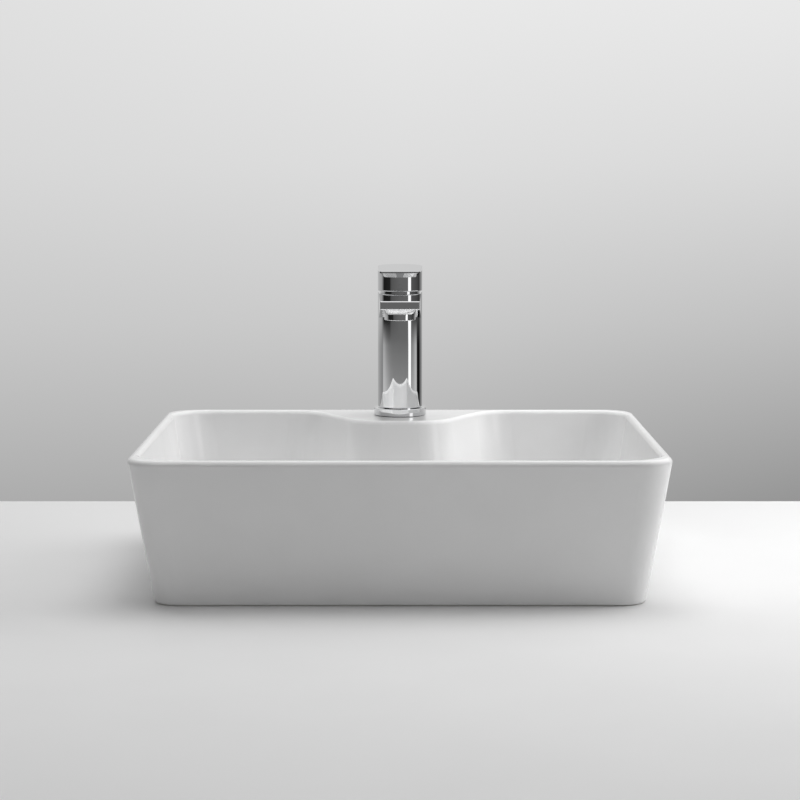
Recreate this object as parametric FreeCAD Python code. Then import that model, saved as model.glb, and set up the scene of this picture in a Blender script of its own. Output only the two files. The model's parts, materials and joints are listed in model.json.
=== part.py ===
import FreeCAD, Part
import math
import os

# Countertop basin with a single-lever mixer and a click waste, in millimetres.
# Frame: +Z up, front faces -Y, origin under the middle of the basin on the counter plane.

# Basin, measured at the rim before its edges are rounded
BASIN_WIDTH = 480.0
BASIN_DEPTH = 370.0
BASIN_HEIGHT = 132.0
WALL_TAPER = 21.0
RIM_CORNER_RADIUS = 30.0
FOOT_CORNER_RADIUS = 24.0
RIM_WIDTH = 9.5
RIM_EDGE_RADIUS = 4.4
FOOT_EDGE_RADIUS = 3.0
BOWL_CORNER_RADIUS = 36.0
BOWL_FLOOR_RADIUS = 20.0
FLOOR_HEIGHT = 46.0
FLOOR_THICKNESS = 18.0
SKIRT_WALL = 13.0
RECESS_CORNER_RADIUS = 14.0

# Tap ledge
LEDGE_REACH = 87.5
LEDGE_FRONT_WIDTH = 80.0
LEDGE_SIDE_ANGLE = 60.0
LEDGE_CURVE_RADIUS = 40.0
LEDGE_THICKNESS = 14.0
TAP_SETBACK = 42.0
TAP_HOLE_RADIUS = 17.5

# Waste opening in the bowl
WASTE_SETBACK = 213.0
WASTE_HOLE_RADIUS = 22.5
WASTE_SEAT_RADIUS = 34.0
WASTE_SEAT_DEPTH = 3.0
DISH_RADIUS = 80.0
DISH_FALL = 3.0

# Mixer base and its fixing under the ledge
BASE_GASKET_RADIUS = 25.5
BASE_GASKET_BORE = 17.0
BASE_GASKET_HEIGHT = 0.6
BASE_RING_RADIUS = 26.5
BASE_RING_BORE = 15.5
BASE_RING_HEIGHT = 7.2
BASE_RING_EDGE_RADIUS = 0.6
SEAM_HEIGHT = 0.9
SEAM_DEPTH = 1.4
SPIGOT_HEIGHT = 6.0
STUD_RADIUS = 4.0
STUD_OFFSET = 9.0
STUD_GRIP = 12.0
STUD_FREE_LENGTH = 8.0
RUBBER_WASHER_HEIGHT = 3.0
STEEL_WASHER_HEIGHT = 2.5
HORSESHOE_RADIUS = 22.0
HORSESHOE_SLOT_WIDTH = 27.0
HORSESHOE_SLOT_DEPTH = 23.0
NUT_FLATS = 13.0
NUT_HEIGHT = 12.0

# Mixer body and spout
BODY_RADIUS = 22.5
BODY_HEIGHT = 116.1
BODY_EDGE_RADIUS = 0.5
LOWER_BORE_RADIUS = 19.0
WEB_HEIGHT = 18.0
INLET_RADIUS = 5.0
INLET_SPACING = 15.0
INLET_OFFSET = 5.0
PORT_RADIUS = 3.0
SPOUT_REACH = 123.0
SPOUT_ROOT_WIDTH = 43.0
SPOUT_TIP_WIDTH = 38.0
SPOUT_TIP_HEIGHT = 8.1
SPOUT_TOP_FALL = 0.9
SPOUT_ROOT_HEIGHT = 22.5
SPOUT_EDGE_RADIUS = 0.9
WATERWAY_WIDTH = 26.0
WATERWAY_WALL = 2.5
WATERWAY_MOUTH_HEIGHT = 5.0

# Aerator
AERATOR_SETBACK = 18.0
BOSS_TOP_RADIUS = 17.6
BOSS_LOW_RADIUS = 15.3
BOSS_HEIGHT = 6.2
BOSS_HOLLOW = 0.9
AERATOR_RADIUS = 15.0
AERATOR_HEIGHT = 4.6
AERATOR_THREAD_RADIUS = 12.0
AERATOR_THREAD_LENGTH = 6.0
AERATOR_BORE_RADIUS = 10.4
AERATOR_LIP_RADIUS = 9.4
AERATOR_LIP_HEIGHT = 1.2
AERATOR_INSERT_HEIGHT = 9.0
AERATOR_HOLE_RADIUS = 1.1
AERATOR_HOLE_RINGS = 3
AERATOR_HOLE_PITCH = 2.8
AERATOR_WASHER_HEIGHT = 1.5
AERATOR_WASHER_BORE = 8.5

# Ceramic disc cartridge
BAY_DEPTH = 45.5
CARTRIDGE_RADIUS = 17.5
CARTRIDGE_WALL = 3.3
WAIST_DEPTH = 1.5
INLET_SEAL_HEIGHT = 0.5
INLET_SEAL_RADIUS = 6.0
INLET_SEAL_BORE = 4.2
HOUSING_BASE = 4.5
DISC_HEIGHT = 5.0
MOVING_DISC_RADIUS = 8.5
MIX_POCKET_WIDTH = 5.0
MIX_POCKET_DEPTH = 2.5
HOLDER_HEIGHT = 7.0
HOLDER_SLOT_FRONT = 3.4
HOLDER_SLOT_BACK = 5.0
HOLDER_SLOT_WIDTH = 6.6
ROTOR_RADIUS = 11.5
ROTOR_FLANGE_RADIUS = 13.6
ROTOR_FLANGE_HEIGHT = 3.0
ROTOR_HEIGHT = 17.5
ROTOR_SLOT_LENGTH = 16.4
NECK_HEIGHT = 8.6
OUTLET_WIDTH = 14.0
ORING_HEIGHT = 2.4
ORING_DEPTH = 1.5
ORING_DROP = 1.0
CARTRIDGE_NUT_RADIUS = 19.5
CARTRIDGE_NUT_HEIGHT = 6.0
CARTRIDGE_NUT_BORE = 13.5
SPANNER_SLOT_WIDTH = 4.0
SPANNER_SLOT_DEPTH = 2.0
PIVOT_RISE = 9.4
STEM_PIN_RADIUS = 1.5
STEM_PIN_LENGTH = 21.0
STEM_ARM = 13.5
STEM_FOOT_RADIUS = 3.0
STEM_FOOT_LENGTH = 6.5
STEM_WIDTH = 8.0
STEM_THICKNESS = 7.0

# Handle
SHROUD_RADIUS = 20.0
SHROUD_BORE = 12.0
SHROUD_OVERLAP = 1.0
GROOVE_HEIGHT = 1.5
HANDLE_FRONT_HEIGHT = 22.8
HANDLE_BACK_HEIGHT = 25.6
LEVER_REACH = 60.0
LEVER_TIP_WIDTH = 40.0
LEVER_TIP_HEIGHT = 2.0
LEVER_TIP_BEVEL = 0.8
LEVER_ROOT_DROP = 7.4
LEVER_ROOT_BOW = 1.0
LEVER_ROOT_FLOOR_WIDTH = 32.0
LEVER_CORNER_BEVEL = 1.6
HANDLE_EDGE_RADIUS = 0.5
CAP_EDGE_RADIUS = 0.9
CAP_WALL = 3.0
CAP_CAVITY_HEIGHT = 16.7
CAP_REAR_RISE = 2.4
SOCKET_RADIUS = 8.5
RELIEF_ANGLE = 25.0
SOCKET_RELIEF_START = 3.6
INDEX_RADIUS = 3.0
INDEX_RISE = 4.2
INDEX_DEPTH = 2.4
GRUB_RADIUS = 2.0
GRUB_LENGTH = 9.0

# Click waste
TAIL_RADIUS = 20.955
TAIL_BORE = 17.5
TAIL_LIFT = 1.0
TAIL_GROOVE_WIDTH = 1.0
TAIL_GROOVE_DEPTH = 0.6
FLANGE_RADIUS = 32.0
FLANGE_HEIGHT = 4.0
FLANGE_EDGE_RADIUS = 1.5
PLUG_SEAT_RADIUS = 27.5
PLUG_SEAT_DEPTH = 2.0
TOP_GASKET_HEIGHT = 1.0
BOTTOM_GASKET_HEIGHT = 3.0
BOTTOM_GASKET_RADIUS = 32.0
SLIP_WASHER_HEIGHT = 1.0
BACKNUT_RADIUS = 29.0
BACKNUT_HEIGHT = 7.0
BACKNUT_LUGS = 6
BACKNUT_LUG_LENGTH = 3.0
BACKNUT_LUG_WIDTH = 8.0
SPIDER_LIFT = 8.0
SPIDER_HEIGHT = 6.0
SPIDER_ARM_WIDTH = 5.0
SPIDER_HUB_RADIUS = 10.5
SLEEVE_RADIUS = 8.0
SLEEVE_WALL = 1.6
SLEEVE_FLOOR = 2.0
SLEEVE_NECK_HEIGHT = 4.0
SLEEVE_HEIGHT = 26.0
PLUG_STEM_RADIUS = 4.0
PLUG_STEM_FOOT_RADIUS = 6.0
PLUG_STEM_FOOT_HEIGHT = 2.0
PLUG_TRAVEL = 9.0
PLUG_CAP_RADIUS = 31.0
PLUG_CAP_EDGE = 2.0
PLUG_CAP_CROWN = 3.0
PLUG_HUB_RADIUS = 7.0
PLUG_HUB_DEPTH = 6.5
PLUG_SEAL_RADIUS = 25.0
PLUG_SEAL_BORE = 19.5
SPRING_WIRE_RADIUS = 0.5
SPRING_TURNS = 4

# Fits
FIT_GAP = 0.05
RUNNING_GAP = 0.1
FACE_GAP = 0.1
LOOSE_GAP = 0.3
CUT_MARGIN = 1.0
MATCH_TOLERANCE = 0.001

# Levels and places worked out from the sizes above
wall_slope = WALL_TAPER / BASIN_HEIGHT
floor_under = FLOOR_HEIGHT - FLOOR_THICKNESS
ledge_under = BASIN_HEIGHT - LEDGE_THICKNESS
bowl_back = BASIN_DEPTH / 2 - RIM_WIDTH
ledge_front = bowl_back - LEDGE_REACH
side_angle = math.radians(LEDGE_SIDE_ANGLE)
tap_y = BASIN_DEPTH / 2 - TAP_SETBACK
stud_y = tap_y + STUD_OFFSET
inlet_y = tap_y - INLET_OFFSET
waste_y = BASIN_DEPTH / 2 - WASTE_SETBACK
waste_seat = FLOOR_HEIGHT - DISH_FALL - WASTE_SEAT_DEPTH

rubber_washer_low = ledge_under - RUBBER_WASHER_HEIGHT
steel_washer_low = rubber_washer_low - STEEL_WASHER_HEIGHT
nut_low = steel_washer_low - NUT_HEIGHT

ring_low = BASIN_HEIGHT + BASE_GASKET_HEIGHT
ring_top = ring_low + BASE_RING_HEIGHT
body_low = ring_top + SEAM_HEIGHT
body_top = body_low + BODY_HEIGHT
bay_floor = body_top - BAY_DEPTH
web_under = bay_floor - WEB_HEIGHT
bay_radius = CARTRIDGE_RADIUS + LOOSE_GAP
nut_bore_radius = CARTRIDGE_NUT_RADIUS + RUNNING_GAP

housing_low = bay_floor + INLET_SEAL_HEIGHT
disc_seat = housing_low + HOUSING_BASE
moving_disc_low = disc_seat + DISC_HEIGHT + FACE_GAP
holder_low = moving_disc_low + DISC_HEIGHT
holder_top = holder_low + HOLDER_HEIGHT
rotor_low = holder_top + LOOSE_GAP
rotor_top = rotor_low + ROTOR_HEIGHT
neck_low = rotor_low + ROTOR_FLANGE_HEIGHT + LOOSE_GAP
housing_top = neck_low + NECK_HEIGHT
cartridge_nut_top = housing_top + CARTRIDGE_NUT_HEIGHT
pivot_z = rotor_low + PIVOT_RISE
chamber_radius = CARTRIDGE_RADIUS - CARTRIDGE_WALL
waist_radius = CARTRIDGE_RADIUS - WAIST_DEPTH
groove_radius = CARTRIDGE_RADIUS - ORING_DEPTH
oring_top = housing_top - ORING_DROP
oring_low = oring_top - ORING_HEIGHT

spout_face = tap_y - SPOUT_REACH
spout_root_y = tap_y - BODY_RADIUS
aerator_y = spout_face + AERATOR_SETBACK
spout_tip_top = body_top - SPOUT_TOP_FALL
boss_top = spout_tip_top - SPOUT_TIP_HEIGHT
boss_low = boss_top - BOSS_HEIGHT
aerator_thread_low = boss_low - FIT_GAP
aerator_low = aerator_thread_low - AERATOR_HEIGHT
aerator_top = aerator_thread_low + AERATOR_THREAD_LENGTH
aerator_washer_top = aerator_top + AERATOR_WASHER_HEIGHT

handle_low = body_top + GROOVE_HEIGHT
shroud_top = handle_low + SHROUD_OVERLAP
dome_radius = math.hypot(SHROUD_RADIUS, handle_low - pivot_z)
body_edge_swing = math.hypot(BODY_RADIUS, body_top - pivot_z)
cap_rear_low = handle_low + CAP_REAR_RISE
relief_slope = math.tan(math.radians(RELIEF_ANGLE))
cap_rise_end = tap_y + CAP_REAR_RISE / relief_slope
cap_back = tap_y + BODY_RADIUS
socket_low = shroud_top + LOOSE_GAP
lever_tip_top = handle_low + HANDLE_FRONT_HEIGHT
handle_back_top = handle_low + HANDLE_BACK_HEIGHT
handle_ceiling = handle_low + CAP_CAVITY_HEIGHT
lever_tip_y = tap_y - LEVER_REACH
index_z = handle_low + INDEX_RISE
index_back = tap_y - BODY_RADIUS + INDEX_DEPTH
stem_top = handle_ceiling - FIT_GAP

flange_low = waste_seat + TOP_GASKET_HEIGHT
flange_top = flange_low + FLANGE_HEIGHT
plug_seat = flange_top - PLUG_SEAT_DEPTH
backnut_top = floor_under - BOTTOM_GASKET_HEIGHT - SLIP_WASHER_HEIGHT
backnut_low = backnut_top - BACKNUT_HEIGHT
tail_groove_low = backnut_low - TAIL_GROOVE_WIDTH
spider_low = TAIL_LIFT + SPIDER_LIFT
sleeve_low = spider_low - SLEEVE_FLOOR
sleeve_floor = sleeve_low + SLEEVE_FLOOR
sleeve_top = sleeve_low + SLEEVE_HEIGHT
sleeve_neck = sleeve_top - SLEEVE_NECK_HEIGHT
plug_cap_low = flange_top + LOOSE_GAP
plug_foot_top = sleeve_neck - PLUG_TRAVEL - LOOSE_GAP
plug_foot_low = plug_foot_top - PLUG_STEM_FOOT_HEIGHT


def vec(x, y, z=0.0):
    return FreeCAD.Vector(x, y, z)


def cylinder(radius, low, high, x=0.0, y=0.0):
    return Part.makeCylinder(radius, high - low, vec(x, y, low))


def cylinder_along_y(radius, y_low, y_high, z):
    return Part.makeCylinder(radius, y_high - y_low, vec(0, y_low, z), vec(0, 1, 0))


def ring(outer, inner, low, high, x=0.0, y=0.0):
    hole = cylinder(inner, low - CUT_MARGIN, high + CUT_MARGIN, x, y)
    return cylinder(outer, low, high, x, y).cut(hole)


def block(x_low, x_high, y_low, y_high, low, high):
    size = (x_high - x_low, y_high - y_low, high - low)
    return Part.makeBox(*size, vec(x_low, y_low, low))


def upright_prism(points, low, high):
    """Solid over a plan outline of (x, y) corners."""
    corners = [vec(x, y, low) for x, y in points]
    face = Part.Face(Part.makePolygon(corners + corners[:1]))
    return face.extrude(vec(0, 0, high - low))


def side_prism(points, half_width):
    """Solid of a side outline of (y, z) corners, as wide as asked about the middle plane."""
    corners = [vec(-half_width, y, z) for y, z in points]
    face = Part.Face(Part.makePolygon(corners + corners[:1]))
    return face.extrude(vec(2 * half_width, 0, 0))


def hexagon(flats, low, high, x, y):
    reach = flats / math.sqrt(3)
    angles = [math.radians(60 * i) for i in range(6)]
    return upright_prism([(x + reach * math.cos(a), y + reach * math.sin(a)) for a in angles], low, high)


def edges_at(shape, height):
    """Edges that lie all along in one level plane."""
    return [e for e in shape.Edges if all(abs(p.z - height) < MATCH_TOLERANCE for p in e.discretize(5))]


def inset_corners(points, distance):
    """Corners of an anticlockwise outline with every side moved inwards."""
    moved = []
    for i, here in enumerate(points):
        before = points[i - 1]
        after = points[(i + 1) % len(points)]
        first = vec(here[0] - before[0], here[1] - before[1]).normalize()
        second = vec(after[0] - here[0], after[1] - here[1]).normalize()
        normals = vec(-first.y - second.y, first.x + second.x)
        share = distance / (1 + first.dot(second))
        moved.append((here[0] + normals.x * share, here[1] + normals.y * share))
    return moved


def rounded_wire(points, radii, height):
    """Closed outline through the corners, each rounded by its own radius."""
    arcs = []
    for i, (x, y) in enumerate(points):
        here = vec(x, y, height)
        back = (vec(*points[i - 1], height) - here).normalize()
        ahead = (vec(*points[(i + 1) % len(points)], height) - here).normalize()
        half = back.getAngle(ahead) / 2
        middle = (back + ahead).normalize()
        run = radii[i] / math.tan(half)
        depth = radii[i] / math.sin(half) - radii[i]
        arcs.append((here + back * run, here + middle * depth, here + ahead * run))
    edges = []
    for i, (start, middle, end) in enumerate(arcs):
        edges.append(Part.Arc(start, middle, end).toShape())
        edges.append(Part.LineSegment(end, arcs[(i + 1) % len(arcs)][0]).toShape())
    return Part.Wire(edges)


def level_loft(points, radii_low, radii_high, low, high, inset_low, inset_high):
    """Solid between two levels of one outline, moved inwards by its own amount at each."""
    wires = [rounded_wire(inset_corners(points, inset_low), radii_low, low)]
    wires.append(rounded_wire(inset_corners(points, inset_high), radii_high, high))
    return Part.makeLoft(wires, True, True)


def lean(height):
    """How far the tapered walls have moved in at a height."""
    return (BASIN_HEIGHT - height) * wall_slope


# Basin

def rectangle(width, depth):
    x = width / 2
    y = depth / 2
    return [(-x, -y), (x, -y), (x, y), (-x, y)]


def outer_form():
    plan = rectangle(BASIN_WIDTH, BASIN_DEPTH)
    foot_radii = [FOOT_CORNER_RADIUS] * 4
    rim_radii = [RIM_CORNER_RADIUS] * 4
    return level_loft(plan, foot_radii, rim_radii, 0, BASIN_HEIGHT, lean(0), 0)


def bowl_form():
    """Room inside the bowl: a tapered rectangle with the tap ledge bulging in at the back."""
    side = BASIN_WIDTH / 2 - RIM_WIDTH
    nose = LEDGE_FRONT_WIDTH / 2
    shoulder = nose + LEDGE_REACH / math.tan(side_angle)
    plan = [(-side, -bowl_back), (side, -bowl_back), (side, bowl_back), (shoulder, bowl_back)]
    plan += [(nose, ledge_front), (-nose, ledge_front), (-shoulder, bowl_back), (-side, bowl_back)]
    radii = [BOWL_CORNER_RADIUS] * 3 + [LEDGE_CURVE_RADIUS] * 4 + [BOWL_CORNER_RADIUS]
    top = BASIN_HEIGHT + CUT_MARGIN
    room = level_loft(plan, radii, radii, FLOOR_HEIGHT, top, lean(FLOOR_HEIGHT), lean(top))
    room = room.makeFillet(BOWL_FLOOR_RADIUS, edges_at(room, FLOOR_HEIGHT))
    dish_low = FLOOR_HEIGHT - DISH_FALL
    dish = Part.makeCone(WASTE_SEAT_RADIUS, DISH_RADIUS, DISH_FALL, vec(0, waste_y, dish_low))
    seat = cylinder(WASTE_SEAT_RADIUS, waste_seat, FLOOR_HEIGHT, 0, waste_y)
    return room.fuse([dish, seat])


def underside_form():
    """Recess under the bowl floor, open to the counter."""
    plan = rectangle(BASIN_WIDTH - 2 * SKIRT_WALL, BASIN_DEPTH - 2 * SKIRT_WALL)
    radii = [RECESS_CORNER_RADIUS] * 4
    low = -CUT_MARGIN
    return level_loft(plan, radii, radii, low, floor_under, lean(low), lean(floor_under))


def ledge_cavity():
    """Room under the tap ledge for the mixer's fixing, open to the recess below."""
    front = ledge_front + SKIRT_WALL
    back = BASIN_DEPTH / 2 - SKIRT_WALL
    front_half = LEDGE_FRONT_WIDTH / 2 - SKIRT_WALL * math.tan(side_angle / 2)
    back_half = front_half + (back - front) / math.tan(side_angle)
    wires = []
    for height in (floor_under - CUT_MARGIN, ledge_under):
        shift = lean(height)
        plan = [(-front_half, front - shift), (front_half, front - shift)]
        plan += [(back_half, back - shift), (-back_half, back - shift)]
        wires.append(rounded_wire(plan, [RECESS_CORNER_RADIUS] * 4, height))
    return Part.makeLoft(wires, True, True)


def level_face(shape, height):
    """The largest flat face that lies in one level plane."""
    faces = [f for f in shape.Faces if all(abs(v.Z - height) < MATCH_TOLERANCE for v in f.Vertexes)]
    return max(faces, key=lambda f: f.OuterWire.BoundBox.DiagonalLength)


def basin_body():
    body = outer_form().cut(bowl_form())
    body = body.cut(underside_form().fuse(ledge_cavity()))
    body = body.makeFillet(RIM_EDGE_RADIUS, level_face(body, BASIN_HEIGHT).Edges)
    body = body.makeFillet(FOOT_EDGE_RADIUS, level_face(body, 0).OuterWire.Edges)
    tap_hole = cylinder(TAP_HOLE_RADIUS, ledge_under - CUT_MARGIN, BASIN_HEIGHT + CUT_MARGIN, 0, tap_y)
    waste_hole = cylinder(WASTE_HOLE_RADIUS, floor_under - CUT_MARGIN, FLOOR_HEIGHT, 0, waste_y)
    return body.cut([tap_hole, waste_hole])


# Mixer base and fixing

def base_gasket():
    return ring(BASE_GASKET_RADIUS, BASE_GASKET_BORE, BASIN_HEIGHT, ring_low, 0, tap_y)


def base_ring():
    foot = cylinder(BASE_RING_RADIUS, ring_low, ring_top, 0, tap_y)
    foot = foot.makeFillet(BASE_RING_EDGE_RADIUS, edges_at(foot, ring_top))
    seam = cylinder(BODY_RADIUS - SEAM_DEPTH, ring_top, body_low, 0, tap_y)
    spigot = cylinder(LOWER_BORE_RADIUS - FIT_GAP, body_low, body_low + SPIGOT_HEIGHT, 0, tap_y)
    bore = cylinder(BASE_RING_BORE, ring_low - CUT_MARGIN, body_low + SPIGOT_HEIGHT + CUT_MARGIN, 0, tap_y)
    return foot.fuse([seam, spigot]).cut(bore)


def horseshoe(low, high):
    """Washer with a slot for the supply tails and a hole for the stud."""
    disc = cylinder(HORSESHOE_RADIUS, low, high, 0, tap_y)
    half = HORSESHOE_SLOT_WIDTH / 2
    front = tap_y - HORSESHOE_RADIUS - CUT_MARGIN
    slot_end = tap_y - HORSESHOE_RADIUS + HORSESHOE_SLOT_DEPTH
    slot = block(-half, half, front, slot_end, low - CUT_MARGIN, high + CUT_MARGIN)
    hole = cylinder(STUD_RADIUS + LOOSE_GAP, low - CUT_MARGIN, high + CUT_MARGIN, 0, stud_y)
    return disc.cut([slot, hole])


def fixing_rubber_washer():
    return horseshoe(rubber_washer_low, ledge_under)


def fixing_steel_washer():
    return horseshoe(steel_washer_low, rubber_washer_low)


def fixing_nut():
    nut = hexagon(NUT_FLATS, nut_low, steel_washer_low, 0, stud_y)
    thread = cylinder(STUD_RADIUS + FIT_GAP, nut_low - CUT_MARGIN, steel_washer_low + CUT_MARGIN, 0, stud_y)
    return nut.cut(thread)


def fixing_stud():
    return cylinder(STUD_RADIUS, nut_low - STUD_FREE_LENGTH, web_under + STUD_GRIP, 0, stud_y)


# Mixer body

def spout_under(y):
    """Height of the spout's sloping underside at a distance along it."""
    share = (y - spout_face) / (spout_root_y - spout_face)
    return boss_top - share * (SPOUT_ROOT_HEIGHT - SPOUT_TIP_HEIGHT)


def aerator_boss():
    """Flared boss under the spout's end, hollowed between its two rims."""
    low = vec(BOSS_LOW_RADIUS, aerator_y, boss_low)
    high = vec(BOSS_TOP_RADIUS, aerator_y, boss_top)
    inwards = vec(low.z - high.z, 0, high.x - low.x).normalize()
    flare = Part.Arc(low, (low + high) * 0.5 + inwards * BOSS_HOLLOW, high).toShape()
    axis = [high, vec(0, aerator_y, boss_top), vec(0, aerator_y, boss_low), low]
    half = Part.Face(Part.Wire([flare] + Part.makePolygon(axis).Edges))
    return half.revolve(vec(0, aerator_y, 0), vec(0, 0, 1), 360)


def spout():
    root = SPOUT_ROOT_WIDTH / 2
    tip = SPOUT_TIP_WIDTH / 2
    plan = [(-root, tap_y), (-tip, spout_face), (tip, spout_face), (root, tap_y)]
    outline = [(tap_y, body_top), (spout_root_y, body_top), (spout_face, spout_tip_top)]
    outline += [(spout_face, boss_top), (tap_y, spout_under(tap_y))]
    bar = upright_prism(plan, body_low, body_top).common(side_prism(outline, SPOUT_ROOT_WIDTH))
    tip_edges = [e for e in bar.Edges if all(abs(v.Y - spout_face) < MATCH_TOLERANCE for v in e.Vertexes)]
    bar = bar.makeFillet(SPOUT_EDGE_RADIUS, tip_edges)
    return bar.fuse(aerator_boss())


def waterway():
    """Channel from the cartridge bay through the spout to the aerator."""
    top = body_top - WATERWAY_WALL
    mouth = tap_y - CARTRIDGE_RADIUS
    mouth_low = spout_under(mouth) + WATERWAY_WALL
    mouth_top = mouth_low + WATERWAY_MOUTH_HEIGHT
    end = aerator_y - AERATOR_WASHER_BORE
    outline = [(mouth, mouth_low), (mouth, mouth_top), (spout_root_y, mouth_top)]
    outline += [(aerator_y, top), (end, top), (end, spout_under(end) + WATERWAY_WALL)]
    channel = side_prism(outline, WATERWAY_WIDTH / 2)
    drop = cylinder(AERATOR_WASHER_BORE, boss_low, top, 0, aerator_y)
    thread = cylinder(AERATOR_THREAD_RADIUS, boss_low - CUT_MARGIN, aerator_washer_top, 0, aerator_y)
    return [channel, drop, thread]


def inlet_columns(radius, low, high):
    half = INLET_SPACING / 2
    return [cylinder(radius, low, high, x, inlet_y) for x in (-half, half)]


def tap_body():
    column = cylinder(BODY_RADIUS, body_low, body_top, 0, tap_y)
    column = column.makeFillet(BODY_EDGE_RADIUS, edges_at(column, body_low))
    body = column.fuse(spout()).removeSplitter()
    lower_bore = cylinder(LOWER_BORE_RADIUS, body_low - CUT_MARGIN, web_under, 0, tap_y)
    bay = cylinder(bay_radius, bay_floor, body_top + CUT_MARGIN, 0, tap_y)
    nut_bore = cylinder(nut_bore_radius, housing_top, body_top + CUT_MARGIN, 0, tap_y)
    stud_end = web_under + STUD_GRIP
    stud_hole = cylinder(STUD_RADIUS + FIT_GAP, web_under - CUT_MARGIN, stud_end + FIT_GAP, 0, stud_y)
    inlets = inlet_columns(INLET_RADIUS, web_under - CUT_MARGIN, bay_floor + CUT_MARGIN)
    return body.cut([lower_bore, bay, nut_bore, stud_hole] + inlets + waterway())


# Aerator

def aerator_housing():
    skirt = cylinder(AERATOR_RADIUS, aerator_low, aerator_thread_low, 0, aerator_y)
    skirt = skirt.makeFillet(BODY_EDGE_RADIUS, edges_at(skirt, aerator_low))
    thread = cylinder(AERATOR_THREAD_RADIUS - FIT_GAP, aerator_thread_low, aerator_top, 0, aerator_y)
    lip_top = aerator_low + AERATOR_LIP_HEIGHT
    bore = cylinder(AERATOR_BORE_RADIUS, lip_top, aerator_top + CUT_MARGIN, 0, aerator_y)
    lip = cylinder(AERATOR_LIP_RADIUS, aerator_low - CUT_MARGIN, aerator_top, 0, aerator_y)
    return skirt.fuse(thread).cut([bore, lip])


def aerator_insert():
    low = aerator_low + AERATOR_LIP_HEIGHT
    high = low + AERATOR_INSERT_HEIGHT
    disc = cylinder(AERATOR_BORE_RADIUS - FIT_GAP, low, high, 0, aerator_y)
    holes = [cylinder(AERATOR_HOLE_RADIUS, low - CUT_MARGIN, high + CUT_MARGIN, 0, aerator_y)]
    for step in range(1, AERATOR_HOLE_RINGS + 1):
        for i in range(6 * step):
            turn = math.radians(60 * i / step)
            x = step * AERATOR_HOLE_PITCH * math.cos(turn)
            y = aerator_y + step * AERATOR_HOLE_PITCH * math.sin(turn)
            holes.append(cylinder(AERATOR_HOLE_RADIUS, low - CUT_MARGIN, high + CUT_MARGIN, x, y))
    return disc.cut(holes)


def aerator_washer():
    outer = AERATOR_THREAD_RADIUS - FIT_GAP
    return ring(outer, AERATOR_WASHER_BORE, aerator_top, aerator_washer_top, 0, aerator_y)


# Cartridge

def inlet_seals():
    seals = []
    for x in (-INLET_SPACING / 2, INLET_SPACING / 2):
        seals.append(ring(INLET_SEAL_RADIUS, INLET_SEAL_BORE, bay_floor, housing_low, x, inlet_y))
    return Part.makeCompound(seals)


def cartridge_housing():
    shell = cylinder(CARTRIDGE_RADIUS, housing_low, housing_top, 0, tap_y)
    chamber = cylinder(chamber_radius, disc_seat, neck_low, 0, tap_y)
    neck = cylinder(ROTOR_RADIUS + RUNNING_GAP, neck_low, housing_top + CUT_MARGIN, 0, tap_y)
    waist = ring(CARTRIDGE_RADIUS + CUT_MARGIN, waist_radius, disc_seat, oring_low - ORING_DROP, 0, tap_y)
    groove = ring(CARTRIDGE_RADIUS + CUT_MARGIN, groove_radius, oring_low, oring_top, 0, tap_y)
    half = OUTLET_WIDTH / 2
    front = tap_y - CARTRIDGE_RADIUS - CUT_MARGIN
    outlet = block(-half, half, front, tap_y, moving_disc_low, holder_top)
    ports = inlet_columns(PORT_RADIUS, housing_low - CUT_MARGIN, disc_seat + CUT_MARGIN)
    return shell.cut([chamber, neck, waist, groove, outlet] + ports)


def cartridge_oring():
    inner = groove_radius + FIT_GAP
    return ring(bay_radius - FIT_GAP, inner, oring_low + FIT_GAP, oring_top - FIT_GAP, 0, tap_y)


def fixed_disc():
    top = disc_seat + DISC_HEIGHT
    disc = cylinder(chamber_radius - RUNNING_GAP, disc_seat, top, 0, tap_y)
    return disc.cut(inlet_columns(PORT_RADIUS, disc_seat - CUT_MARGIN, top + CUT_MARGIN))


def moving_disc():
    disc = cylinder(MOVING_DISC_RADIUS, moving_disc_low, holder_low, 0, tap_y)
    pocket_top = moving_disc_low + MIX_POCKET_DEPTH
    half = MIX_POCKET_WIDTH / 2
    front = tap_y - MOVING_DISC_RADIUS - CUT_MARGIN
    return disc.cut(block(-half, half, front, tap_y, moving_disc_low - CUT_MARGIN, pocket_top))


def disc_holder():
    plate = cylinder(MOVING_DISC_RADIUS, holder_low, holder_top, 0, tap_y)
    half = HOLDER_SLOT_WIDTH / 2
    slot_low = pivot_z - math.hypot(STEM_ARM, STEM_FOOT_RADIUS) - LOOSE_GAP
    front = tap_y - HOLDER_SLOT_FRONT
    back = tap_y + HOLDER_SLOT_BACK
    return plate.cut(block(-half, half, front, back, slot_low, holder_top + CUT_MARGIN))


def cartridge_rotor():
    barrel = cylinder(ROTOR_RADIUS, rotor_low, rotor_top, 0, tap_y)
    flange = cylinder(ROTOR_FLANGE_RADIUS, rotor_low, rotor_low + ROTOR_FLANGE_HEIGHT, 0, tap_y)
    half = STEM_WIDTH / 2 + LOOSE_GAP
    reach = ROTOR_SLOT_LENGTH / 2
    slot = block(-half, half, tap_y - reach, tap_y + reach, rotor_low - CUT_MARGIN, rotor_top + CUT_MARGIN)
    pin_hole = pin_along_x(STEM_PIN_RADIUS + FIT_GAP, STEM_PIN_LENGTH + FIT_GAP)
    return barrel.fuse(flange).cut([slot, pin_hole])


def pin_along_x(radius, length):
    return Part.makeCylinder(radius, length, vec(-length / 2, tap_y, pivot_z), vec(1, 0, 0))


def stem_pin():
    return pin_along_x(STEM_PIN_RADIUS, STEM_PIN_LENGTH)


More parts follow.
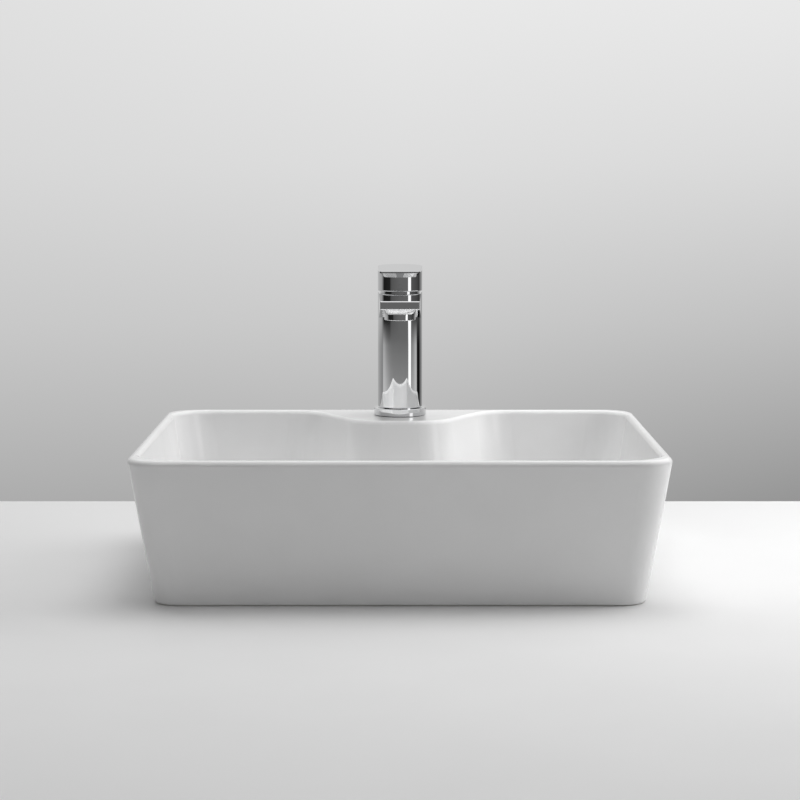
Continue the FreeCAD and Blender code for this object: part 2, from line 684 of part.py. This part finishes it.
def cartridge_stem():
    foot_low = pivot_z - STEM_ARM
    bar_low = foot_low + STEM_FOOT_LENGTH
    foot = cylinder(STEM_FOOT_RADIUS, foot_low, bar_low, 0, tap_y)
    half = STEM_WIDTH / 2
    depth = STEM_THICKNESS / 2
    bar = block(-half, half, tap_y - depth, tap_y + depth, bar_low, stem_top)
    return foot.fuse(bar).cut(pin_along_x(STEM_PIN_RADIUS + FIT_GAP, STEM_WIDTH + CUT_MARGIN))


def cartridge_nut():
    nut = ring(CARTRIDGE_NUT_RADIUS, CARTRIDGE_NUT_BORE, housing_top, cartridge_nut_top, 0, tap_y)
    half = SPANNER_SLOT_WIDTH / 2
    reach = CARTRIDGE_NUT_RADIUS + CUT_MARGIN
    low = cartridge_nut_top - SPANNER_SLOT_DEPTH
    high = cartridge_nut_top + CUT_MARGIN
    across = block(-reach, reach, tap_y - half, tap_y + half, low, high)
    along = block(-half, half, tap_y - reach, tap_y + reach, low, high)
    return nut.cut([across, along])


# Handle

def swing_ball(radius):
    """Ball about the point that the lever tilts on."""
    return Part.makeSphere(radius, vec(0, tap_y, pivot_z))


def shroud_ring():
    """Domed neck that the cap swings over."""
    collar = cylinder(SHROUD_RADIUS, body_top, shroud_top, 0, tap_y).common(swing_ball(dome_radius))
    skirt = cylinder(CARTRIDGE_NUT_RADIUS, cartridge_nut_top, body_top, 0, tap_y)
    bore = cylinder(SHROUD_BORE, cartridge_nut_top - CUT_MARGIN, shroud_top + CUT_MARGIN, 0, tap_y)
    return collar.fuse(skirt).cut(bore)


def lever_plan():
    """Lever outline from above, as wide as the cap at its root, with bevelled tip corners."""
    tip = LEVER_TIP_WIDTH / 2
    bevel = LEVER_CORNER_BEVEL
    right = [(tip - bevel, lever_tip_y), (tip, lever_tip_y + bevel), (BODY_RADIUS, tap_y)]
    return [(-x, y) for x, y in right[::-1]] + right


def hull_wire(y, floor_half, floor, bow):
    """Outline across the lever: bowed floor, lower edges bevelled at 45 degrees, upright sides."""
    high = handle_back_top + CUT_MARGIN
    side_half = BODY_RADIUS + CUT_MARGIN
    side = floor + side_half - floor_half
    ends = [vec(floor_half, y, floor), vec(-floor_half, y, floor)]
    arc = Part.Arc(ends[1], vec(0, y, floor - bow), ends[0]).toShape()
    corners = [ends[0], vec(side_half, y, side), vec(side_half, y, high)]
    corners += [vec(-side_half, y, high), vec(-side_half, y, side), ends[1]]
    return Part.Wire([arc] + Part.makePolygon(corners).Edges)


def lever_form():
    """Lever that deepens from its thin tip to the cap like a shallow hull."""
    tip_low = lever_tip_top - LEVER_TIP_HEIGHT
    tip_floor_half = LEVER_TIP_WIDTH / 2 - LEVER_TIP_BEVEL
    run = LEVER_REACH / (LEVER_REACH - BODY_RADIUS)

    def carried_on(tip, root):
        return tip + (root - tip) * run

    floor_half = carried_on(tip_floor_half, LEVER_ROOT_FLOOR_WIDTH / 2)
    floor = carried_on(tip_low, lever_tip_top - LEVER_ROOT_DROP)
    wires = [hull_wire(lever_tip_y, tip_floor_half, tip_low, FIT_GAP)]
    wires.append(hull_wire(tap_y, floor_half, floor, LEVER_ROOT_BOW * run))
    hull = Part.makeLoft(wires, True, True)
    return hull.common(upright_prism(lever_plan(), handle_low, handle_back_top + CUT_MARGIN))


def handle_form():
    """Cap and lever under one sloping top plane."""
    cap = cylinder(BODY_RADIUS, handle_low, handle_back_top + CUT_MARGIN, 0, tap_y)
    cap = cap.makeFillet(CAP_EDGE_RADIUS, edges_at(cap, handle_low))
    below_top = [(cap_back, handle_back_top), (lever_tip_y, lever_tip_top)]
    below_top += [(lever_tip_y, handle_low), (cap_back, handle_low)]
    form = cap.fuse(lever_form()).common(side_prism(below_top, BODY_RADIUS)).removeSplitter()
    top = max(form.Faces, key=lambda f: f.CenterOfMass.z)
    return form.makeFillet(HANDLE_EDGE_RADIUS, top.Edges)


def cap_rear_room():
    """Room that lets the cap's rear rim tilt down past the body's upper edge."""
    low = handle_low - CUT_MARGIN
    outline = [(tap_y, low), (tap_y, handle_low), (cap_rise_end, cap_rear_low)]
    outline += [(cap_back + CUT_MARGIN, cap_rear_low), (cap_back + CUT_MARGIN, low)]
    rear = block(-BODY_RADIUS, BODY_RADIUS, cap_rise_end, cap_back, low, handle_ceiling)
    under_rim = side_prism(outline, BODY_RADIUS + CUT_MARGIN)
    return [under_rim, swing_ball(body_edge_swing + LOOSE_GAP).common(rear)]


def handle_socket():
    """Socket for the stem, cut away behind so that it clears the shroud when it tilts."""
    start = tap_y - SOCKET_RELIEF_START
    end = tap_y + SOCKET_RADIUS + CUT_MARGIN
    low = socket_low - CUT_MARGIN
    end_low = socket_low + (end - start) * relief_slope
    outline = [(start, low), (start, socket_low), (end, end_low), (end, low)]
    socket = cylinder(SOCKET_RADIUS, socket_low, handle_ceiling, 0, tap_y)
    return socket.cut(side_prism(outline, SOCKET_RADIUS + CUT_MARGIN))


def handle():
    cavity = cylinder(BODY_RADIUS - CAP_WALL, handle_low - CUT_MARGIN, handle_ceiling, 0, tap_y)
    shell = handle_form().cut([cavity, swing_ball(dome_radius + LOOSE_GAP)] + cap_rear_room())
    half = STEM_WIDTH / 2 + FIT_GAP
    depth = STEM_THICKNESS / 2 + FIT_GAP
    square = block(-half, half, tap_y - depth, tap_y + depth, handle_low - CUT_MARGIN, handle_ceiling)
    front = tap_y - BODY_RADIUS - CUT_MARGIN
    grub_hole = cylinder_along_y(GRUB_RADIUS + FIT_GAP, front, tap_y, index_z)
    index_hole = cylinder_along_y(INDEX_RADIUS + FIT_GAP, front, index_back, index_z)
    return shell.fuse(handle_socket()).cut([square, grub_hole, index_hole])


def handle_grub_screw():
    end = tap_y - STEM_THICKNESS / 2 - FACE_GAP
    return cylinder_along_y(GRUB_RADIUS, end - GRUB_LENGTH, end, index_z)


def index_plug():
    plug = cylinder_along_y(INDEX_RADIUS, tap_y - BODY_RADIUS - CUT_MARGIN, index_back - FIT_GAP, index_z)
    return plug.common(cylinder(BODY_RADIUS, handle_low, handle_ceiling, 0, tap_y))


# Click waste

def waste_top_gasket():
    return ring(FLANGE_RADIUS, TAIL_RADIUS + LOOSE_GAP, waste_seat, flange_low, 0, waste_y)


def waste_body():
    flange = cylinder(FLANGE_RADIUS, flange_low, flange_top, 0, waste_y)
    flange = flange.makeFillet(FLANGE_EDGE_RADIUS, edges_at(flange, flange_top))
    tail = cylinder(TAIL_RADIUS, TAIL_LIFT, flange_low, 0, waste_y)
    groove_wall = TAIL_RADIUS - TAIL_GROOVE_DEPTH
    tail = tail.cut(ring(TAIL_RADIUS + CUT_MARGIN, groove_wall, tail_groove_low, backnut_low, 0, waste_y))
    bore = cylinder(TAIL_BORE, TAIL_LIFT - CUT_MARGIN, flange_top, 0, waste_y)
    seat = cylinder(PLUG_SEAT_RADIUS, plug_seat, flange_top + CUT_MARGIN, 0, waste_y)
    spider_top = spider_low + SPIDER_HEIGHT
    half = SPIDER_ARM_WIDTH / 2
    reach = (TAIL_BORE + TAIL_RADIUS) / 2
    spider = [cylinder(SPIDER_HUB_RADIUS, spider_low, spider_top, 0, waste_y)]
    spider.append(block(-reach, reach, waste_y - half, waste_y + half, spider_low, spider_top))
    spider.append(block(-half, half, waste_y - reach, waste_y + reach, spider_low, spider_top))
    hub = cylinder(SLEEVE_RADIUS + FIT_GAP, TAIL_LIFT, flange_top, 0, waste_y)
    return flange.fuse(tail).cut([bore, seat]).fuse(spider).cut(hub)


def waste_bottom_gasket():
    low = floor_under - BOTTOM_GASKET_HEIGHT
    return ring(BOTTOM_GASKET_RADIUS, TAIL_RADIUS + FIT_GAP, low, floor_under, 0, waste_y)


def waste_slip_washer():
    high = floor_under - BOTTOM_GASKET_HEIGHT
    return ring(BOTTOM_GASKET_RADIUS, TAIL_RADIUS + LOOSE_GAP, backnut_top, high, 0, waste_y)


def waste_backnut():
    nut = cylinder(BACKNUT_RADIUS, backnut_low, backnut_top, 0, waste_y)
    half = BACKNUT_LUG_WIDTH / 2
    reach = BACKNUT_RADIUS + BACKNUT_LUG_LENGTH
    lugs = []
    for i in range(BACKNUT_LUGS):
        lug = block(0, reach, waste_y - half, waste_y + half, backnut_low, backnut_top)
        lug.rotate(vec(0, waste_y, 0), vec(0, 0, 1), 360 * i / BACKNUT_LUGS)
        lugs.append(lug)
    bore_low = backnut_low - CUT_MARGIN
    bore = cylinder(TAIL_RADIUS + FIT_GAP, bore_low, backnut_top + CUT_MARGIN, 0, waste_y)
    return nut.fuse(lugs).cut(bore)


def click_sleeve():
    barrel = cylinder(SLEEVE_RADIUS, sleeve_low, sleeve_top, 0, waste_y)
    chamber = cylinder(SLEEVE_RADIUS - SLEEVE_WALL, sleeve_floor, sleeve_neck, 0, waste_y)
    neck = cylinder(PLUG_STEM_RADIUS + RUNNING_GAP, sleeve_floor, sleeve_top + CUT_MARGIN, 0, waste_y)
    return barrel.cut([chamber, neck])


def plug_stem():
    rod = cylinder(PLUG_STEM_RADIUS, plug_foot_low, plug_cap_low, 0, waste_y)
    foot = cylinder(PLUG_STEM_FOOT_RADIUS, plug_foot_low, plug_foot_top, 0, waste_y)
    return rod.fuse(foot)


def plug_cap():
    edge_top = plug_cap_low + PLUG_CAP_EDGE
    crown = edge_top + PLUG_CAP_CROWN
    crown_radius = (PLUG_CAP_RADIUS ** 2 + PLUG_CAP_CROWN ** 2) / (2 * PLUG_CAP_CROWN)
    dome = Part.makeSphere(crown_radius, vec(0, waste_y, crown - crown_radius))
    cap = cylinder(PLUG_CAP_RADIUS, plug_cap_low, crown, 0, waste_y).common(dome)
    hub_low = plug_cap_low - PLUG_HUB_DEPTH
    hub = cylinder(PLUG_HUB_RADIUS, hub_low, plug_cap_low, 0, waste_y)
    hole = cylinder(PLUG_STEM_RADIUS + FIT_GAP, hub_low - CUT_MARGIN, plug_cap_low, 0, waste_y)
    return cap.fuse(hub).cut(hole)


def plug_seal():
    return ring(PLUG_SEAL_RADIUS, PLUG_SEAL_BORE, plug_seat + FIT_GAP, plug_cap_low, 0, waste_y)


def click_spring():
    """Compression spring under the plug stem, wound from quarter-turn arcs."""
    low = sleeve_floor + SPRING_WIRE_RADIUS + FIT_GAP
    high = plug_foot_low - SPRING_WIRE_RADIUS - FIT_GAP
    coil = (SLEEVE_RADIUS - SLEEVE_WALL + PLUG_STEM_RADIUS) / 2

    def coil_point(turns):
        turn = 2 * math.pi * turns
        height = low + (high - low) * turns / SPRING_TURNS
        return vec(coil * math.cos(turn), waste_y + coil * math.sin(turn), height)

    arcs = []
    for i in range(4 * SPRING_TURNS):
        start, middle, end = [coil_point((i + part) / 4) for part in (0, 0.5, 1)]
        arcs.append(Part.Arc(start, middle, end).toShape())
    path = Part.Wire(arcs)
    tangent = arcs[0].tangentAt(arcs[0].FirstParameter)
    section = Part.Wire(Part.makeCircle(SPRING_WIRE_RADIUS, coil_point(0), tangent))
    pitch = (high - low) / SPRING_TURNS
    print("click_spring least gap between turns", round(pitch - 2 * SPRING_WIRE_RADIUS, 2))
    return path.makePipeShell([section], True, False)


PIECES = [
    basin_body,
    base_gasket, base_ring, fixing_rubber_washer, fixing_steel_washer, fixing_nut, fixing_stud,
    tap_body, aerator_housing, aerator_insert, aerator_washer,
    inlet_seals, cartridge_housing, cartridge_oring, fixed_disc, moving_disc, disc_holder,
    cartridge_rotor, stem_pin, cartridge_stem, cartridge_nut,
    shroud_ring, handle, handle_grub_screw, index_plug,
    waste_top_gasket, waste_body, waste_bottom_gasket, waste_slip_washer, waste_backnut,
    plug_cap, plug_seal, plug_stem, click_sleeve, click_spring,
]

os.makedirs("parts", exist_ok=True)
for piece in PIECES:
    piece().exportStep("parts/" + piece.__name__ + ".step")
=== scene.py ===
import bpy
import json
import math
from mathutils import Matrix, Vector


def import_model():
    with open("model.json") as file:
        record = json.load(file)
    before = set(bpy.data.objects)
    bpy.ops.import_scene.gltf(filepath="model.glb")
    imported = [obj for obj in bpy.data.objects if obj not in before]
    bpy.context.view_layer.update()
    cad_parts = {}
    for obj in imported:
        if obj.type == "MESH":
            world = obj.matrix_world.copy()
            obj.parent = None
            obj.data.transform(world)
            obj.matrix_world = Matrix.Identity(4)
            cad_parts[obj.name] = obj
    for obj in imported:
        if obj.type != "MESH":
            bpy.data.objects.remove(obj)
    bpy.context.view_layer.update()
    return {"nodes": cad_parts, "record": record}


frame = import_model()
nodes = frame["nodes"]
scene = bpy.context.scene

# Camera, fitted to the rim, foot and tap of the photograph: metres, degrees, millimetres of lens
CAMERA_PLACE = (0.0, -1.980, 0.399)
CAMERA_PITCH = 83.22
LENS = 94.5
SENSOR = 36.0

# Counter, in metres: it ends where the photograph shows the line between counter and wall
COUNTER_HALF_WIDTH = 1.1
COUNTER_FRONT = -0.95
COUNTER_BACK = 0.397
COUNTER_THICKNESS = 0.04
COUNTER_EDGE = 0.003

# Foot of the basin: bare up to the first height, glazed from the second
BARE_TOP = 0.0006
GLAZE_START = 0.0011

# Wall behind the counter, by the height and side of the viewing direction, with painted shade: lighter above,
# darker below, darker at the top left and most at the lower right
WALL_LOW = -0.165
WALL_HIGH = 0.069
WALL_SIDE = 0.185
# Tones of the painted shade on the wall, from low to high, and how much painted shade is taken off at the top
# left and lower right
WALL_TONES = [(0.0, 0.41), (0.36, 0.595), (0.68, 0.725), (1.0, 0.81)]
WALL_TOP_LEFT_SHADE = 0.08
WALL_LOW_RIGHT_SHADE = 0.27

# Soft light on diffuse surfaces from each side
AMBIENT_RIGHT = 0.05
AMBIENT_LEFT = 0.12
AMBIENT_BACK = 0.05
AMBIENT_FRONT = 0.22
AMBIENT_TOP = 0.05

# Studio that the chrome and the glaze mirror: (azimuth in degrees, tone), 0 in front and more to the right.
# In each list the lines are: behind, left wall, front, white panel, right wall, behind again.
PANEL = 1.4
CEILING = 1.2
STUDIO_LEVEL = [
    (-180, 0.64), (-110, 0.42),
    (-93, 0.012), (-53, 0.02), (-49, 0.08), (-42, 0.11),
    (0, 0.15), (42, 0.155),
    (44, PANEL), (57, PANEL),
    (60, 0.11), (100, 0.07), (119, 0.04),
    (125, 0.17), (180, 0.64)]
STUDIO_LOWER = [
    (-180, 0.58), (-101, 0.26),
    (-98, 0.42), (-89, 0.41), (-75, 0.25), (-62, 0.19), (-40, 0.165),
    (0, 0.165), (43, 0.17),
    (46, PANEL), (57, PANEL),
    (60, 0.22), (75, 0.33), (88, 0.52), (96, 0.45), (99, 0.003), (115, 0.003),
    (124, 0.08), (134, 0.22), (180, 0.58)]
STUDIO_LOWEST = [
    (-180, 0.54), (-101, 0.27),
    (-98, 0.68), (-81, 0.62), (-68, 0.52), (-51, 0.39), (-34, 0.34),
    (0, 0.32), (43, 0.32),
    (46, PANEL), (57, PANEL),
    (60, 0.40), (75, 0.50), (88, 0.66), (97, 0.60), (100, 0.003), (117, 0.003),
    (124, 0.05), (134, 0.20), (180, 0.54)]

# Heights of the viewing direction over which one part of the studio gives way to the next
LOWEST_TO_LOWER = (-0.118, -0.088)
LOWER_TO_LEVEL = (-0.092, -0.0805)
LEVEL_TO_CEILING = (0.15, 0.7)

# Square lamps, all aimed at the middle of the bowl: name, place and side in metres, power in watts
LAMP_TARGET = (0.0, 0.0, 0.08)
LAMPS = [
    ("overhead", (0.15, 0.15, 2.0), 1.5, 27.0),
    ("behind", (1.2, 1.1, 1.2), 1.0, 6.5),
    ("behind_left", (-0.9, 0.9, 1.4), 1.0, 3.5),
    ("side", (1.3, 0.4, 1.4), 0.9, 4.0),
    ("low_side", (1.0, 0.0, 0.5), 0.5, 3.6),
]

# Middle of a noise, over which a tone or a roughness goes from its first value to its second
NOISE_LOW = 0.3
NOISE_HIGH = 0.7

# Colour sockets of the Mix node, by number because its number and vector sockets have the same names
MIX_COLOURS = (6, 7)
MIX_RESULT = 2


# Node helpers

def new_material(name):
    material = bpy.data.materials.new(name)
    material.use_nodes = True
    tree = material.node_tree
    return material, tree, tree.nodes["Principled BSDF"]


def add(tree, kind, **inputs):
    node = tree.nodes.new("ShaderNode" + kind)
    for name, value in inputs.items():
        node.inputs[name.replace("_", " ")].default_value = value
    return node


def math_node(tree, operation, first, second):
    """One step of arithmetic on two values, each a number or another node's output."""
    node = tree.nodes.new("ShaderNodeMath")
    node.operation = operation
    for socket, value in zip(node.inputs, (first, second)):
        if isinstance(value, (int, float)):
            socket.default_value = value
        else:
            tree.links.new(value, socket)
    return node.outputs[0]


def mix(tree, factor, first, second):
    """Blend from the first colour to the second, each a tone or another node's output."""
    node = tree.nodes.new("ShaderNodeMix")
    node.data_type = "RGBA"
    tree.links.new(factor, node.inputs["Factor"])
    for number, value in zip(MIX_COLOURS, (first, second)):
        if isinstance(value, float):
            node.inputs[number].default_value = (value, value, value, 1.0)
        else:
            tree.links.new(value, node.inputs[number])
    return node.outputs[MIX_RESULT]


def ramp(tree, factor, stops):
    """Colour ramp of (place, tone or colour) stops."""
    node = tree.nodes.new("ShaderNodeValToRGB")
    elements = node.color_ramp.elements
    while len(elements) < len(stops):
        elements.new(0.5)
    for element, (place, colour) in zip(elements, stops):
        element.position = place
        if isinstance(colour, (int, float)):
            colour = (colour, colour, colour)
        element.color = (*colour, 1.0)
    tree.links.new(factor, node.inputs["Fac"])
    return node.outputs["Color"]


def map_range(tree, value, low, high, to_low, to_high):
    node = tree.nodes.new("ShaderNodeMapRange")
    tree.links.new(value, node.inputs["Value"])
    sockets = ("From Min", "From Max", "To Min", "To Max")
    for name, number in zip(sockets, (low, high, to_low, to_high)):
        node.inputs[name].default_value = number
    return node.outputs["Result"]


def tones(tree, grain, dark, light):
    return ramp(tree, grain, [(NOISE_LOW, dark), (NOISE_HIGH, light)])


def spread(tree, grain, low, high):
    return map_range(tree, grain, NOISE_LOW, NOISE_HIGH, low, high)


def axes_of(tree, point):
    node = tree.nodes.new("ShaderNodeSeparateXYZ")
    tree.links.new(point, node.inputs[0])
    return node.outputs


def object_point(tree):
    return tree.nodes.new("ShaderNodeTexCoord").outputs["Object"]


def noise(tree, point, scale, detail=2.0):
    node = add(tree, "TexNoise", Scale=scale, Detail=detail)
    tree.links.new(point, node.inputs["Vector"])
    return node.outputs["Fac"]


def stretched(tree, point, scale):
    node = add(tree, "Mapping", Scale=scale)
    tree.links.new(point, node.inputs["Vector"])
    return node.outputs["Vector"]


def bump(tree, shader, height, strength, distance):
    node = add(tree, "Bump", Strength=strength, Distance=distance)
    tree.links.new(height, node.inputs["Height"])
    tree.links.new(node.outputs["Normal"], shader.inputs["Normal"])


# Materials

def glaze_material():
    """White glaze, faintly uneven, with bare bisque under the foot."""
    material, tree, shader = new_material("white_glaze")
    point = object_point(tree)
    glaze = tones(tree, noise(tree, point, 14.0), 0.865, 0.895)
    grit = tones(tree, noise(tree, point, 900.0), (0.62, 0.60, 0.56), (0.74, 0.72, 0.68))
    bare = map_range(tree, axes_of(tree, point)["Z"], BARE_TOP, GLAZE_START, 1.0, 0.0)
    tree.links.new(mix(tree, bare, glaze, grit), shader.inputs["Base Color"])
    smooth = spread(tree, noise(tree, point, 40.0), 0.02, 0.045)
    rough = math_node(tree, "MAXIMUM", smooth, math_node(tree, "MULTIPLY", bare, 0.75))
    tree.links.new(rough, shader.inputs["Roughness"])
    shader.inputs["IOR"].default_value = 1.52
    bump(tree, shader, noise(tree, point, 55.0, 1.0), 0.035, 0.002)
    return material


def chrome_material():
    """Polished plate with a trace of haze and ripple."""
    material, tree, shader = new_material("polished_chrome")
    point = object_point(tree)
    haze = noise(tree, point, 120.0, 4.0)
    tone = tones(tree, haze, (0.765, 0.77, 0.775), (0.785, 0.79, 0.795))
    tree.links.new(tone, shader.inputs["Base Color"])
    shader.inputs["Metallic"].default_value = 1.0
    tree.links.new(spread(tree, haze, 0.012, 0.03), shader.inputs["Roughness"])
    bump(tree, shader, noise(tree, point, 60.0, 1.0), 0.01, 0.0002)
    return material


def metal_material(name, dark, light, roughness):
    """Turned or plated metal with fine lathe marks round the upright axis."""
    material, tree, shader = new_material(name)
    point = object_point(tree)
    marks = noise(tree, stretched(tree, point, (60.0, 60.0, 4000.0)), 1.0, 3.0)
    tree.links.new(tones(tree, marks, dark, light), shader.inputs["Base Color"])
    shader.inputs["Metallic"].default_value = 1.0
    sheen = spread(tree, marks, roughness - 0.06, roughness + 0.08)
    tree.links.new(sheen, shader.inputs["Roughness"])
    bump(tree, shader, marks, 0.06, 0.0002)
    return material


def matt_material(name, dark, light, roughness, grain):
    """Rubber, foam, moulded plastic or lapped ceramic: fine grain and uneven sheen."""
    material, tree, shader = new_material(name)
    point = object_point(tree)
    speck = noise(tree, point, grain, 3.0)
    tree.links.new(tones(tree, speck, dark, light), shader.inputs["Base Color"])
    sheen = spread(tree, speck, roughness - 0.08, roughness + 0.08)
    tree.links.new(sheen, shader.inputs["Roughness"])
    bump(tree, shader, speck, 0.15, 0.0002)
    return material


materials = {
    "glazed_white": glaze_material(),
    "chrome": chrome_material(),
    "black_rubber": matt_material("black_rubber", (0.025,) * 3, (0.045,) * 3, 0.65, 1500.0),
    "foam_white": matt_material("foam_white", (0.70, 0.70, 0.68), (0.80, 0.80, 0.78), 0.85, 2500.0),
    "steel": metal_material("plated_steel", (0.55, 0.55, 0.56), (0.66, 0.66, 0.67), 0.28),
    "brass": metal_material("turned_brass", (0.64, 0.50, 0.24), (0.76, 0.62, 0.33), 0.24),
    "cartridge_plastic": matt_material("cartridge_plastic", (0.74,) * 3, (0.80,) * 3, 0.45, 700.0),
    "aerator_plastic": matt_material("aerator_plastic", (0.32, 0.33, 0.34), (0.38, 0.39, 0.40), 0.40, 900.0),
    "disc_ceramic": matt_material("disc_ceramic", (0.85, 0.84, 0.81), (0.90, 0.89, 0.86), 0.20, 1200.0),
}
for part in frame["record"]["subparts"]:
    node = nodes[part["node"]]
    node.data.materials.clear()
    node.data.materials.append(materials[part["material_slot"]])


# Stage

def counter_material():
    material, tree, shader = new_material("counter")
    point = object_point(tree)
    tree.links.new(tones(tree, noise(tree, point, 8.0), 0.73, 0.745), shader.inputs["Base Color"])
    shader.inputs["Roughness"].default_value = 0.6
    bump(tree, shader, noise(tree, point, 400.0), 0.02, 0.0002)
    return material


def counter():
    """Slab with softly rounded edges, its top in the plane the basin stands on."""
    mesh = bpy.data.meshes.new("counter")
    x = COUNTER_HALF_WIDTH
    outline = [(-x, COUNTER_FRONT), (x, COUNTER_FRONT), (x, COUNTER_BACK), (-x, COUNTER_BACK)]
    corners = [(*place, z) for z in (-COUNTER_THICKNESS, 0.0) for place in outline]
    faces = [(3, 2, 1, 0), (4, 5, 6, 7), (0, 1, 5, 4), (1, 2, 6, 5), (2, 3, 7, 6), (3, 0, 4, 7)]
    mesh.from_pydata(corners, [], faces)
    slab = bpy.data.objects.new("counter", mesh)
    scene.collection.objects.link(slab)
    edge = slab.modifiers.new("edge", "BEVEL")
    edge.width = COUNTER_EDGE
    edge.segments = 3
    mesh.materials.append(counter_material())


counter()


# World: the wall for the camera, a studio for reflections, plain soft light for the rest

def wall_colour(tree, x, z):
    """Painted shade on the wall: light above and darker below, shaded at the top left and at the lower right.
    """
    height = map_range(tree, z, WALL_LOW, WALL_HIGH, 0.0, 1.0)
    depth = math_node(tree, "POWER", math_node(tree, "SUBTRACT", 1.0, height), 2.0)
    left = map_range(tree, x, -WALL_SIDE, 0.0, WALL_TOP_LEFT_SHADE, 0.0)
    right = map_range(tree, x, 0.0, WALL_SIDE, 0.0, WALL_LOW_RIGHT_SHADE)
    top_left = math_node(tree, "MULTIPLY", height, left)
    low_right = math_node(tree, "MULTIPLY", depth, right)
    light = math_node(tree, "SUBTRACT", 1.0, math_node(tree, "ADD", top_left, low_right))
    return math_node(tree, "MULTIPLY", ramp(tree, height, WALL_TONES), light)


def by_azimuth(tree, turn, stops):
    """Ramp over the whole turn, from straight behind on the left to straight behind on the right."""
    return ramp(tree, turn, [((degrees + 180.0) / 360.0, value) for degrees, value in stops])


def studio_colour(tree, x, y, z):
    """Dark walls, one tall white panel and a pale ceiling."""
    azimuth = math_node(tree, "ARCTAN2", x, math_node(tree, "MULTIPLY", y, -1.0))
    turn = map_range(tree, azimuth, -math.pi, math.pi, 0.0, 1.0)
    level = by_azimuth(tree, turn, STUDIO_LEVEL)
    lower = by_azimuth(tree, turn, STUDIO_LOWER)
    lowest = by_azimuth(tree, turn, STUDIO_LOWEST)
    colour = mix(tree, map_range(tree, z, *LOWEST_TO_LOWER, 0.0, 1.0), lowest, lower)
    colour = mix(tree, map_range(tree, z, *LOWER_TO_LEVEL, 0.0, 1.0), colour, level)
    return mix(tree, map_range(tree, z, *LEVEL_TO_CEILING, 0.0, 1.0), colour, CEILING)


def ambient_colour(tree, x, y, z):
    """Soft light on the diffuse surfaces, with its own strength from each side."""
    total = 0.0
    sides = [(x, AMBIENT_RIGHT), (x, -AMBIENT_LEFT), (y, AMBIENT_BACK), (y, -AMBIENT_FRONT), (z, AMBIENT_TOP)]
    for axis, strength in sides:
        lobe = math_node(tree, "MAXIMUM", math_node(tree, "MULTIPLY", axis, strength), 0.0)
        total = math_node(tree, "ADD", total, lobe)
    return total


def world():
    made = bpy.data.worlds.new("studio")
    scene.world = made
    made.use_nodes = True
    tree = made.node_tree
    x, y, z = axes_of(tree, tree.nodes.new("ShaderNodeTexCoord").outputs["Generated"])
    rays = tree.nodes.new("ShaderNodeLightPath").outputs
    straight = math_node(tree, "MAXIMUM", rays["Is Camera Ray"], rays["Is Transmission Ray"])
    lit = mix(tree, rays["Is Glossy Ray"], ambient_colour(tree, x, y, z), studio_colour(tree, x, y, z))
    shown = mix(tree, straight, lit, wall_colour(tree, x, z))
    tree.links.new(shown, tree.nodes["Background"].inputs["Color"])


world()


# Lamps

def area_lamp(name, place, side, power):
    data = bpy.data.lights.new(name, "AREA")
    data.shape = "SQUARE"
    data.size = side
    data.energy = power
    lamp = bpy.data.objects.new(name, data)
    scene.collection.objects.link(lamp)
    lamp.location = place
    lamp.rotation_mode = "QUATERNION"
    lamp.rotation_quaternion = (Vector(LAMP_TARGET) - Vector(place)).to_track_quat("-Z", "Y")
    lamp.visible_camera = False
    lamp.visible_glossy = False


for settings in LAMPS:
    area_lamp(*settings)


# Camera

def camera():
    data = bpy.data.cameras.new("camera")
    data.lens = LENS
    data.sensor_width = SENSOR
    made = bpy.data.objects.new("camera", data)
    scene.collection.objects.link(made)
    made.location = CAMERA_PLACE
    made.rotation_euler = (math.radians(CAMERA_PITCH), 0.0, 0.0)
    scene.camera = made


camera()

scene.view_settings.view_transform = "Standard"
